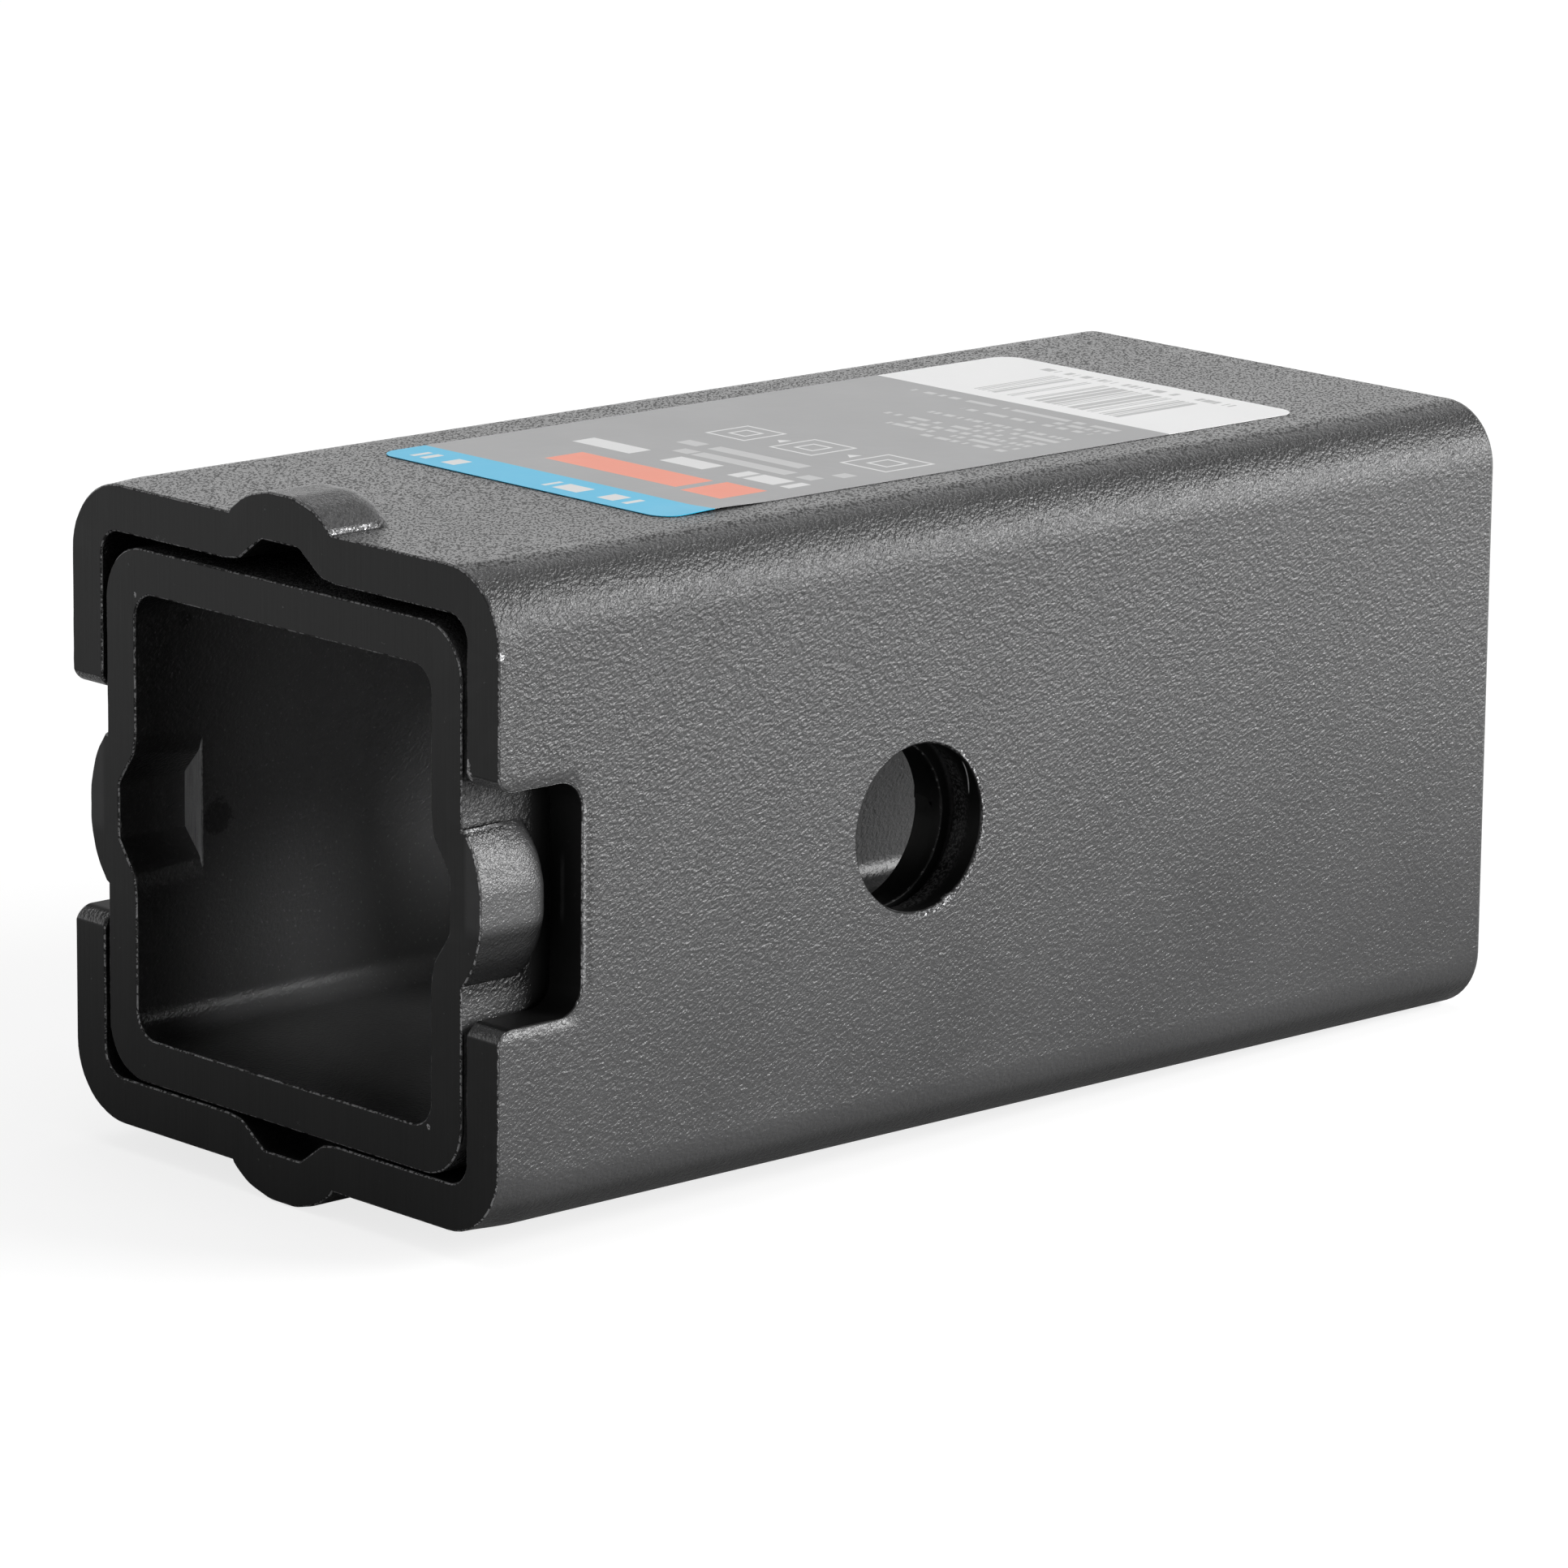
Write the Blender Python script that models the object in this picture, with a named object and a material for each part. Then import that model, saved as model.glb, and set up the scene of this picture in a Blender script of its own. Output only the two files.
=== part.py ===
"""Hitch reducer sleeve: two nested square steel sleeves that bring a 3 in receiver tube down to 2 in.

Metres, +Z up. +Y runs along the sleeves from the mouth to the rear, and the origin is the middle of
the outer sleeve's box. Both sleeves are sawn from square tube. At the mouth of each, two walls have a
stop pressed outwards from the inside, half sheared through at its back. The outer sleeve's stops are on
its top and bottom, and butt on the receiver's rim. The inner sleeve's stops are on its sides and sit in
notches in the outer sleeve's walls. One cross hole for the hitch pin goes through both sleeves.
"""

import math

import bmesh
import bpy
from mathutils import Matrix

# Both sleeves
LENGTH = 0.1604
PIN_HOLE_DIAMETER = 0.0198
PIN_HOLE_FROM_MOUTH = 0.0639
REST_GAP = 0.0003

# Outer sleeve
OUTER_WIDTH = 0.0762
OUTER_WALL = 0.00555
OUTER_CORNER = 0.0088
OUTER_CAVITY_CORNER = 0.0030
REAR_EASE = 0.0010

# Inner sleeve
SLEEVE_CLEARANCE = 0.0016
INNER_WALL = 0.0053
INNER_CORNER = 0.0065
INNER_CAVITY_CORNER = 0.0032

# Pressed stops, alike on both sleeves
STOP_LENGTH = 0.0100
STOP_HEIGHT = 0.0033
STOP_HALF_WIDTH = 0.0094
STOP_FLANK_HALF_WIDTH = 0.0062
STOP_FLANK_HEIGHT = 0.0023
STOP_CREST_HALF_WIDTH = 0.0023
STOP_ROUNDING = 0.0080
STOP_SHOULDER = 0.0030
STOP_BACK_WIDTH_SHARE = 0.66
STOP_BACK_HEIGHT_SHARE = 0.70

# Punch mark inside each stop
PUNCH_DEPTH = 0.0032
PUNCH_END_WEB = 0.0002
PUNCH_TIP_HALF_WIDTH = 0.0033
PUNCH_ROOT_HALF_WIDTH = 0.0064
PUNCH_DRAG = 0.0012
PUNCH_FLARE_HALF_WIDTH = 0.0093
PUNCH_FLARE_DEPTH = 0.0004
PUNCH_ROOT_ROUNDING = 0.0015
PUNCH_TIP_ROUNDING = 0.0008

# Notches in the outer sleeve's sides, round the inner sleeve's stops
NOTCH_SIDE_CLEARANCE = 0.0040
NOTCH_END_CLEARANCE = 0.0022
NOTCH_CORNER = 0.0032
NOTCH_MOUTH_RADIUS = 0.0023
NOTCH_MOUTH_FLARE = math.radians(70)
NOTCH_MOUTH_SETBACK = 0.0006

# Label on the outer sleeve's top
LABEL_LENGTH = 0.1031
LABEL_WIDTH = 0.0522
LABEL_CORNER = 0.0030
LABEL_THICKNESS = 0.0002
LABEL_FROM_MOUTH = 0.0350
LABEL_OFFSET = 0.0008

# Roundness of arcs, and how far a cutter reaches past what it cuts
ARC_STEP = math.radians(9)
HOLE_SEGMENTS = 60
SECTION_FACETS = 5
SHOULDER_STEPS = 6
OVERRUN = 0.0020

MOUTH_Y = -LENGTH / 2
REAR_Y = LENGTH / 2
OUTER_CAVITY_WIDTH = OUTER_WIDTH - 2 * OUTER_WALL
INNER_WIDTH = OUTER_CAVITY_WIDTH - SLEEVE_CLEARANCE
INNER_DROP = SLEEVE_CLEARANCE / 2 - REST_GAP

COATING = ((0.030, 0.030, 0.031, 1.0), 0.42, 0.0)
VINYL = ((0.165, 0.165, 0.170, 1.0), 0.35, 0.0)

for leftover in list(bpy.data.objects):
    bpy.data.objects.remove(leftover)
for leftover in list(bpy.data.collections):
    bpy.data.collections.remove(leftover)

product = bpy.data.collections.new("hitch_reducer_sleeve")
cutters = bpy.data.collections.new("cutters")
bpy.context.scene.collection.children.link(product)
bpy.context.scene.collection.children.link(cutters)


def filleted(corners, facets=None):
    """Outline through corners of (x, y, radius), each rounded by an arc, of ARC_STEP or of set facets."""
    points = []
    count = len(corners)
    for index, (x, y, radius) in enumerate(corners):
        if radius == 0:
            points.append((x, y))
            continue
        before = corners[index - 1]
        after = corners[(index + 1) % count]
        angle_in = math.atan2(y - before[1], x - before[0])
        angle_out = math.atan2(after[1] - y, after[0] - x)
        turn = math.remainder(angle_out - angle_in, math.tau)
        side = math.copysign(1, turn)
        tangent = radius * math.tan(abs(turn) / 2)
        start_x = x - tangent * math.cos(angle_in)
        start_y = y - tangent * math.sin(angle_in)
        centre_x = start_x - side * radius * math.sin(angle_in)
        centre_y = start_y + side * radius * math.cos(angle_in)
        steps = facets or math.ceil(abs(turn) / ARC_STEP)
        for step in range(steps + 1):
            heading = angle_in + turn * step / steps
            points.append(
                (
                    centre_x + side * radius * math.sin(heading),
                    centre_y - side * radius * math.cos(heading),
                )
            )
    return points


def rounded_box(width, height, radius):
    """Outline of a rectangle with equal rounded corners, about its middle."""
    signs = ((-1, -1), (1, -1), (1, 1), (-1, 1))
    return filleted([(sx * width / 2, sy * height / 2, radius) for sx, sy in signs])


def mirrored(half, facets=None):
    """Outline symmetric about x = 0, from the corners of its +x half."""
    return filleted(half + [(-x, y, radius) for x, y, radius in reversed(half)], facets)


def shown(name, mesh, collection):
    obj = bpy.data.objects.new(name, mesh)
    collection.objects.link(obj)
    if collection == cutters:
        obj.hide_render = True
        obj.display_type = "WIRE"
    return obj


def extruded(name, outlines, depth, collection):
    """Mesh object of flat outlines extruded by depth about their plane, an inner outline being a hole."""
    curve = bpy.data.curves.new(name, "CURVE")
    curve.dimensions = "2D"
    curve.fill_mode = "BOTH"
    curve.extrude = depth / 2
    for points in outlines:
        spline = curve.splines.new("POLY")
        spline.points.add(len(points) - 1)
        spline.use_cyclic_u = True
        for point, (x, y) in zip(spline.points, points):
            point.co = (x, y, 0.0, 1.0)
    drawn = bpy.data.objects.new(name, curve)
    bpy.context.scene.collection.objects.link(drawn)
    graph = bpy.context.evaluated_depsgraph_get()
    mesh = bpy.data.meshes.new_from_object(drawn.evaluated_get(graph))
    bpy.data.objects.remove(drawn)
    bpy.data.curves.remove(curve)
    body = bmesh.new()
    body.from_mesh(mesh)
    bmesh.ops.remove_doubles(body, verts=body.verts, dist=1e-6)
    bmesh.ops.dissolve_limit(body, verts=body.verts, edges=body.edges, angle_limit=math.radians(1))
    bmesh.ops.recalc_face_normals(body, faces=body.faces)
    body.to_mesh(mesh)
    body.free()
    mesh.name = name
    return shown(name, mesh, collection)


def lofted(name, sections):
    """Cutter or tool through outlines of (x, z) points, each at its own y."""
    body = bmesh.new()
    rings = [[body.verts.new((x, y, z)) for x, z in points] for y, points in sections]
    for near, far in zip(rings, rings[1:]):
        for index in range(len(near)):
            after = (index + 1) % len(near)
            body.faces.new((near[index], near[after], far[after], far[index]))
    body.faces.new(rings[0])
    body.faces.new(rings[-1])
    bmesh.ops.recalc_face_normals(body, faces=body.faces)
    mesh = bpy.data.meshes.new(name)
    body.to_mesh(mesh)
    body.free()
    return shown(name, mesh, cutters)


def boolean(target, tool, operation):
    step = target.modifiers.new(f"{operation.lower()} {tool.name}", "BOOLEAN")
    step.operation = operation
    step.solver = "EXACT"
    step.object = tool
    tool.parent = target


def finished(obj, surface):
    """Gives the object its own material, and smooth shading with its sharp edges kept."""
    colour, roughness, metallic = surface
    material = bpy.data.materials.new(obj.name)
    material.use_nodes = True
    shader = material.node_tree.nodes["Principled BSDF"]
    shader.inputs["Base Color"].default_value = colour
    shader.inputs["Roughness"].default_value = roughness
    shader.inputs["Metallic"].default_value = metallic
    obj.data.materials.append(material)
    obj.data.shade_smooth()
    obj.data.set_sharp_from_angle(angle=math.radians(30))


def square_tube(name, width, wall, corner, cavity_corner):
    """Square tube along Y, from OVERRUN in front of the mouth to the rear, its outer rear rim eased."""
    cavity = width - 2 * wall
    outlines = [rounded_box(width, width, corner), rounded_box(cavity, cavity, cavity_corner)]
    tube = extruded(name, outlines, LENGTH + OVERRUN, product)
    tube.data.transform(Matrix.Rotation(math.radians(90), 4, "X"))
    tube.data.transform(Matrix.Translation((0, -OVERRUN / 2, 0)))
    body = bmesh.new()
    body.from_mesh(tube.data)
    rim = []
    for edge in body.edges:
        middle = (edge.verts[0].co + edge.verts[1].co) / 2
        across = max(abs(middle.x), abs(middle.z))
        if abs(middle.y - REAR_Y) < 1e-6 and across > width / 2 - wall / 2:
            rim.append(edge)
    bmesh.ops.bevel(
        body, geom=rim, offset=REAR_EASE, affect="EDGES", segments=3, profile=0.5, material=-1
    )
    body.to_mesh(tube.data)
    body.free()
    return tube


def stop_outline(width_share, height_share, surface):
    """Outside contour of a stop, standing on a wall whose outer face is at z = surface."""
    flank_run = STOP_HALF_WIDTH - STOP_FLANK_HALF_WIDTH
    root = OVERRUN / 2
    half = [
        (STOP_HALF_WIDTH + flank_run * root / STOP_FLANK_HEIGHT, -root, 0),
        (STOP_FLANK_HALF_WIDTH, STOP_FLANK_HEIGHT, STOP_ROUNDING),
        (STOP_CREST_HALF_WIDTH, STOP_HEIGHT, STOP_ROUNDING),
    ]
    outline = mirrored(half, SECTION_FACETS)
    shaped = []
    for x, z in outline:
        rise = z * height_share if z > 0 else z
        shaped.append((x * width_share, surface + rise))
    return shaped


def pressed_stop(name, surface):
    """Tool that adds a stop: full section at the mouth, and a shoulder rounded down to a steep back."""
    sections = [(MOUTH_Y - OVERRUN / 2, stop_outline(1, 1, surface))]
    for step in range(SHOULDER_STEPS + 1):
        turn = math.radians(90) * step / SHOULDER_STEPS
        back = STOP_LENGTH - STOP_SHOULDER + STOP_SHOULDER * math.sin(turn)
        fall = 1 - math.cos(turn)
        width_share = 1 - (1 - STOP_BACK_WIDTH_SHARE) * fall
        height_share = 1 - (1 - STOP_BACK_HEIGHT_SHARE) * fall
        sections.append((MOUTH_Y + back, stop_outline(width_share, height_share, surface)))
    return lofted(name, sections)


def punch_outline(drag, surface):
    """Section of the punch mark, cut from inside into a wall whose inner face is at z = surface."""
    root = PUNCH_ROOT_HALF_WIDTH + drag
    flare = PUNCH_FLARE_HALF_WIDTH - PUNCH_ROOT_HALF_WIDTH - PUNCH_DRAG + drag
    below = OVERRUN / 2
    half = [
        (root + flare * (1 + below / PUNCH_FLARE_DEPTH), -below, 0),
        (root, PUNCH_FLARE_DEPTH, PUNCH_ROOT_ROUNDING),
        (PUNCH_TIP_HALF_WIDTH, PUNCH_DEPTH, PUNCH_TIP_ROUNDING),
    ]
    return [(x, surface + z) for x, z in mirrored(half, SECTION_FACETS)]


def punch_mark(name, surface):
    """Cutter for a punch mark: wide where it opens at the mouth, and square at its sheared end."""
    end = MOUTH_Y + STOP_LENGTH - PUNCH_END_WEB
    sections = [
        (MOUTH_Y - 2 * OVERRUN, punch_outline(PUNCH_DRAG, surface)),
        (end, punch_outline(0, surface)),
    ]
    return lofted(name, sections)


def press_stops(tube, width, wall, angles):
    """Presses a stop and its punch mark into the tube's walls, at these angles about the tube's axis."""
    for number, angle in enumerate(angles, 1):
        turn = Matrix.Rotation(angle, 4, "Y")
        stop = pressed_stop(f"{tube.name}_stop_{number}", width / 2)
        mark = punch_mark(f"{tube.name}_punch_{number}", width / 2 - wall)
        stop.data.transform(turn)
        mark.data.transform(turn)
        boolean(tube, stop, "UNION")
        boolean(tube, mark, "DIFFERENCE")


def drill_pin_hole(tube, width):
    body = bmesh.new()
    bmesh.ops.create_cone(
        body,
        cap_ends=True,
        segments=HOLE_SEGMENTS,
        radius1=PIN_HOLE_DIAMETER / 2,
        radius2=PIN_HOLE_DIAMETER / 2,
        depth=width + 2 * OVERRUN,
    )
    mesh = bpy.data.meshes.new(f"{tube.name}_drill")
    body.to_mesh(mesh)
    body.free()
    mesh.transform(Matrix.Rotation(math.radians(90), 4, "Y"))
    mesh.transform(Matrix.Translation((0, MOUTH_Y + PIN_HOLE_FROM_MOUTH, 0)))
    boolean(tube, shown(mesh.name, mesh, cutters), "DIFFERENCE")


def saw_mouth(tube, width):
    """Cuts the mouth square, through the walls and the stops."""
    body = bmesh.new()
    bmesh.ops.create_cube(body, size=1)
    mesh = bpy.data.meshes.new(f"{tube.name}_saw")
    body.to_mesh(mesh)
    body.free()
    across = width + 4 * STOP_HEIGHT
    depth = 2 * OVERRUN
    mesh.transform(Matrix.Diagonal((across, depth, across, 1)))
    mesh.transform(Matrix.Translation((0, MOUTH_Y - depth / 2, 0)))
    boolean(tube, shown(mesh.name, mesh, cutters), "DIFFERENCE")


def cut_notches(tube):
    """Opens a notch in each side wall at the mouth, its mouth edges rounded outwards."""
    half_width = STOP_HALF_WIDTH + NOTCH_SIDE_CLEARANCE
    depth = STOP_LENGTH + NOTCH_END_CLEARANCE
    in_front = 2 * OVERRUN
    flare = (NOTCH_MOUTH_SETBACK + in_front) * math.tan(NOTCH_MOUTH_FLARE)
    half = [
        (half_width + flare, -in_front, 0),
        (half_width, NOTCH_MOUTH_SETBACK, NOTCH_MOUTH_RADIUS),
        (half_width, depth, NOTCH_CORNER),
    ]
    cutter = extruded(f"{tube.name}_notch", [mirrored(half)], 2 * OUTER_WIDTH, cutters)
    drawn_to_walls = Matrix(((0, 0, 1, 0), (0, 1, 0, MOUTH_Y), (1, 0, 0, 0), (0, 0, 0, 1)))
    cutter.data.transform(drawn_to_walls)
    cutter.data.flip_normals()
    boolean(tube, cutter, "DIFFERENCE")


# Outer sleeve
outer_sleeve = square_tube(
    "outer_sleeve", OUTER_WIDTH, OUTER_WALL, OUTER_CORNER, OUTER_CAVITY_CORNER
)
press_stops(outer_sleeve, OUTER_WIDTH, OUTER_WALL, (0, math.pi))
cut_notches(outer_sleeve)
drill_pin_hole(outer_sleeve, OUTER_WIDTH)
saw_mouth(outer_sleeve, OUTER_WIDTH)
finished(outer_sleeve, COATING)

# Inner sleeve, resting on the floor of the outer sleeve's cavity
inner_sleeve = square_tube(
    "inner_sleeve", INNER_WIDTH, INNER_WALL, INNER_CORNER, INNER_CAVITY_CORNER
)
press_stops(inner_sleeve, INNER_WIDTH, INNER_WALL, (math.radians(90), math.radians(-90)))
drill_pin_hole(inner_sleeve, INNER_WIDTH)
saw_mouth(inner_sleeve, INNER_WIDTH)
inner_sleeve.location.z = -INNER_DROP
finished(inner_sleeve, COATING)

# Label
label = extruded(
    "label", [rounded_box(LABEL_WIDTH, LABEL_LENGTH, LABEL_CORNER)], LABEL_THICKNESS, product
)
label.location = (
    LABEL_OFFSET,
    MOUTH_Y + LABEL_FROM_MOUTH + LABEL_LENGTH / 2,
    OUTER_WIDTH / 2 + REST_GAP + LABEL_THICKNESS / 2,
)
finished(label, VINYL)
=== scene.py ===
import math

import bmesh
import bpy
from mathutils import Matrix, Vector, noise


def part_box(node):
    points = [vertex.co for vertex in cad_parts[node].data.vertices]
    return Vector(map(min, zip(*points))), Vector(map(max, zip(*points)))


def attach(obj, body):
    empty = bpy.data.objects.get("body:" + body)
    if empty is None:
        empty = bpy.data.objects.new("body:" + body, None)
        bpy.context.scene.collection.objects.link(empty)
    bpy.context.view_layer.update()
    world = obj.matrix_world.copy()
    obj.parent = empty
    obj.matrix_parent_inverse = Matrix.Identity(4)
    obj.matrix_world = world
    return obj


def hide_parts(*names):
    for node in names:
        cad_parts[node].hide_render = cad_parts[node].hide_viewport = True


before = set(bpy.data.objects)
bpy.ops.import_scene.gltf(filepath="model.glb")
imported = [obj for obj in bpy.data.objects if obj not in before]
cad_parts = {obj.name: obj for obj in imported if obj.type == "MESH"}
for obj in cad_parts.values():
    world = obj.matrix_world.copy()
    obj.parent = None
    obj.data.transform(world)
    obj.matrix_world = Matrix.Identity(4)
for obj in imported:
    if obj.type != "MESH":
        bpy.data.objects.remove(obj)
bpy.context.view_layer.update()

# Outer sleeve. A length of square steel tube sawn off at both ends, with two stops pressed out of it and
# two notches and a cross hole cut in it. It is powder coated after cutting, so every edge is a little
# rounded by the coat, and the coat is thin, bright or chipped along the sawn edges.
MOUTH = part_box("outer_sleeve")[0].y
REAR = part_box("outer_sleeve")[1].y
OUTER_SECTION = (0.0381, 0.00555, 0.0088, 0.0030)
OUTER_TIGHTENING = 0.0012
TIGHTENING_RUN = 0.006
PIN_HOLE_RADIUS = 0.0099
PIN_HOLE_PLACE = MOUTH + 0.0639
PIN_HOLE_SEGMENTS = 96
PIN_HOLE_FLARE = 0.0007
CORNER_STEPS = 12
EDGE_RADIUS = 0.00024
REAR_EASE = 0.0010
EDGE_STEP = 0.0012
SHARP = math.radians(50)

STOP_LENGTH = 0.0100
STOP_HEIGHT = 0.0033
STOP_HALF_WIDTH = 0.0094
STOP_SHOULDER = 0.0030
STOP_FOOT = 0.0090
STOP_FOOT_SLOPE = 2.2
STOP_FLANK_SLOPE = 0.719
STOP_BEND_PLACE = 0.0062
STOP_BEND_HEIGHT = 0.0023
STOP_BEND_SLOPE = 0.256
STOP_NARROWER_AT_BACK = 0.34
STOP_LOWER_AT_BACK = 0.30

PUNCH_LENGTH = 0.0098
PUNCH_DEPTH = 0.0032
PUNCH_START = 0.0040
PUNCH_ROOT = 0.0076
PUNCH_TIP = 0.0033
PUNCH_DRAG = 0.0012
PUNCH_APRON = 0.0029
PUNCH_APRON_DEPTH = 0.0004
SHEAR = 0.00003
SHEARED_LIPS = ((3, 0.00025), (6, 0.00008))

NOTCH_SIDE = 0.0134
NOTCH_END = 0.0122
NOTCH_CORNER = 0.0032
NOTCH_MOUTH_START = 0.0006
NOTCH_MOUTH_TURN = 70
NOTCH_MOUTH_RADIUS = 0.0023
CUTTER_OVERRUN = 0.004
CUTTER_REACH = 0.05

BRIDGING_GAP = 0.02
STOP_LINE_STEP = 0.00055
STOP_FOOT_LINES = (0.00905, 0.0099)
STOP_LINES = [STOP_LINE_STEP * step for step in range(-16, 17)]
STOP_LINES = sorted(STOP_LINES + [side * foot for foot in STOP_FOOT_LINES for side in (-1, 1)])
PLAIN_LINES = [0.0055 * step for step in range(-2, 3)]


def softly_lower(first, second, softness):
    """The lower of two heights, with the corner where they cross rounded off."""
    overlap = max(0, 1 - abs(first - second) / softness)
    return min(first, second) - softness * overlap**2 / 4


def stop_height(across, run):
    """Height of a pressed stop over its wall: flanks, shoulders and crest, rounded down to a steep back."""
    if run > STOP_LENGTH + SHEAR / 2:
        return 0
    round_back = max(0, run - STOP_LENGTH + STOP_SHOULDER) / STOP_SHOULDER
    fall = 1 - math.sqrt(max(0, 1 - round_back**2))
    across = abs(across) / (1 - STOP_NARROWER_AT_BACK * fall)
    flank = (STOP_HALF_WIDTH - across) * STOP_FLANK_SLOPE
    bend = STOP_BEND_HEIGHT + (STOP_BEND_PLACE - across) * STOP_BEND_SLOPE
    crest = softly_lower(softly_lower(flank, bend, 0.0006), STOP_HEIGHT, 0.00018)
    crest = min(crest, (STOP_FOOT - across) * STOP_FOOT_SLOPE)
    return max(0, crest) * (1 - STOP_LOWER_AT_BACK * fall)


def punch_depth(across, run):
    """Depth of the punch mark behind a stop: dragged in at the mouth, sheared square at its end."""
    along = (run + PUNCH_START) / (PUNCH_LENGTH + PUNCH_START)
    root = PUNCH_ROOT - PUNCH_DRAG * along
    apron = PUNCH_APRON_DEPTH * (1 + (root - abs(across)) / (PUNCH_APRON - PUNCH_DRAG * along))
    steepness = (PUNCH_DEPTH - PUNCH_APRON_DEPTH) / (root - PUNCH_TIP)
    flank = PUNCH_APRON_DEPTH + (root - abs(across)) * steepness
    depth = softly_lower(-softly_lower(-apron, -flank, 0.00016), PUNCH_DEPTH, 0.00016)
    past = round((run - PUNCH_LENGTH) / SHEAR)
    if past > 0:
        depth = min(depth, next((lip for end, lip in SHEARED_LIPS if past < end), 0))
    return max(0, depth)


def square_loop(body, half, corner, wall_lines):
    """The edges of a rounded square at the mouth, drawn wall by wall, clockwise from the top left."""
    flat = half - corner
    tip = body.verts.new((-flat, MOUTH, half))
    for wall in range(4):
        turn = Matrix.Rotation(math.radians(90) * wall, 3, "Y")
        for across in (*wall_lines[wall % 2], flat):
            grown = bmesh.ops.extrude_vert_indiv(body, verts=[tip])
            tip = grown["verts"][0]
            tip.co = turn @ Vector((across, MOUTH, half))
        spun = bmesh.ops.spin(
            body,
            geom=[tip],
            cent=turn @ Vector((flat, MOUTH, flat)),
            axis=(0, 1, 0),
            angle=math.radians(90),
            steps=CORNER_STEPS,
        )
        tip = next(item for item in spun["geom_last"] if isinstance(item, bmesh.types.BMVert))
    bmesh.ops.remove_doubles(body, verts=body.verts, dist=1e-7)


def tighten(body, half, corner, by):
    """Makes the corners tighter behind the mouth, where the saw and the presses haven't eased them."""
    flat = half - corner
    for vert in body.verts:
        if min(abs(vert.co.x), abs(vert.co.z)) > flat - 1e-6:
            run = min(1, (vert.co.y - MOUTH) / TIGHTENING_RUN)
            radius = corner - by * run * run * (3 - 2 * run)
            middle = Vector((math.copysign(flat, vert.co.x), 0, math.copysign(flat, vert.co.z)))
            away = (vert.co - middle) * radius / corner
            middle *= (half - radius) / flat
            vert.co = (middle.x + away.x, vert.co.y, middle.z + away.z)


def skin(half, corner, wall_lines, stations, height, stop_turns):
    """One face of the tube, swept back from its mouth loop and pressed where the stops are."""
    body = bmesh.new()
    square_loop(body, half, corner, wall_lines)
    edges = body.edges[:]
    for near, far in zip(stations, stations[1:]):
        grown = bmesh.ops.extrude_edge_only(body, edges=edges)["geom"]
        fresh = [item for item in grown if isinstance(item, bmesh.types.BMVert)]
        bmesh.ops.translate(body, verts=fresh, vec=(0, far - near, 0))
        reached = set(fresh)
        edges = [item for item in grown if isinstance(item, bmesh.types.BMEdge)]
        edges = [edge for edge in edges if set(edge.verts) <= reached]
    for angle in stop_turns:
        turn = Matrix.Rotation(angle, 3, "Y")
        for vert in body.verts:
            local = turn.transposed() @ vert.co
            if abs(local.z - half) < 1e-6:
                local.z += height(local.x, vert.co.y - MOUTH)
                vert.co = turn @ local
    return body


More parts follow.
